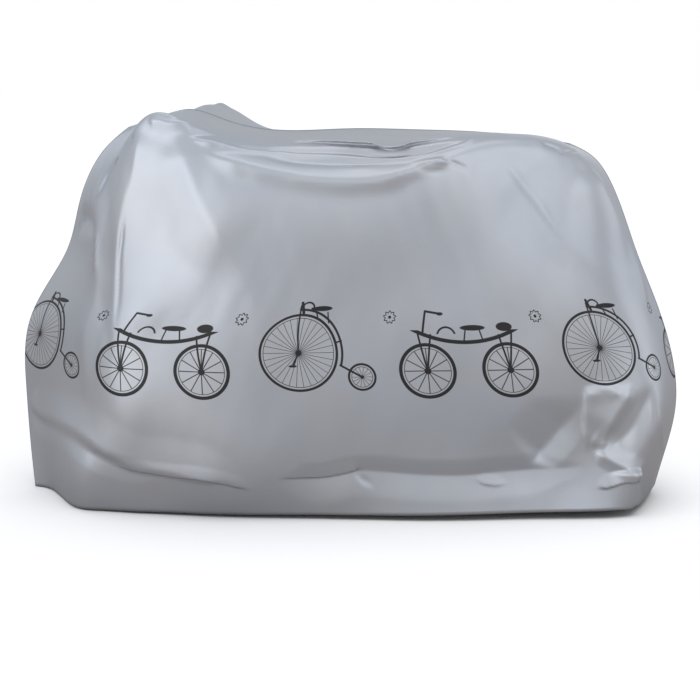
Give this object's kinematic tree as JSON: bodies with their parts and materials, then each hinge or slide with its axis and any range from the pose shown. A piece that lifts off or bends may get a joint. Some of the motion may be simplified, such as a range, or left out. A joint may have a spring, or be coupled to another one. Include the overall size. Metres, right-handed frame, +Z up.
{
  "type": "bicycle cover",
  "caption": "Fitted film cover for a standing bicycle, draped to its handlebar, saddle and wheels, with a drawn-in hem and open foot.",
  "frame": {"origin": "the underside of the top seam above the frame, where the covered bicycle holds the cover up", "axes": "+X along the cover from its nose to its tail, +Y across it to the far side, +Z up"},
  "size_m": [1.8393, 0.6244, 1.0825],
  "materials": {
    "film": "silver-grey coated film with a soft sheen and a dark printed band",
    "tape": "slightly darker welded sealing tape"
  },
  "bodies": {
    "root": {"panel_near": "film", "panel_far": "film", "seam_tape": "tape"}
  },
  "joints": []
}
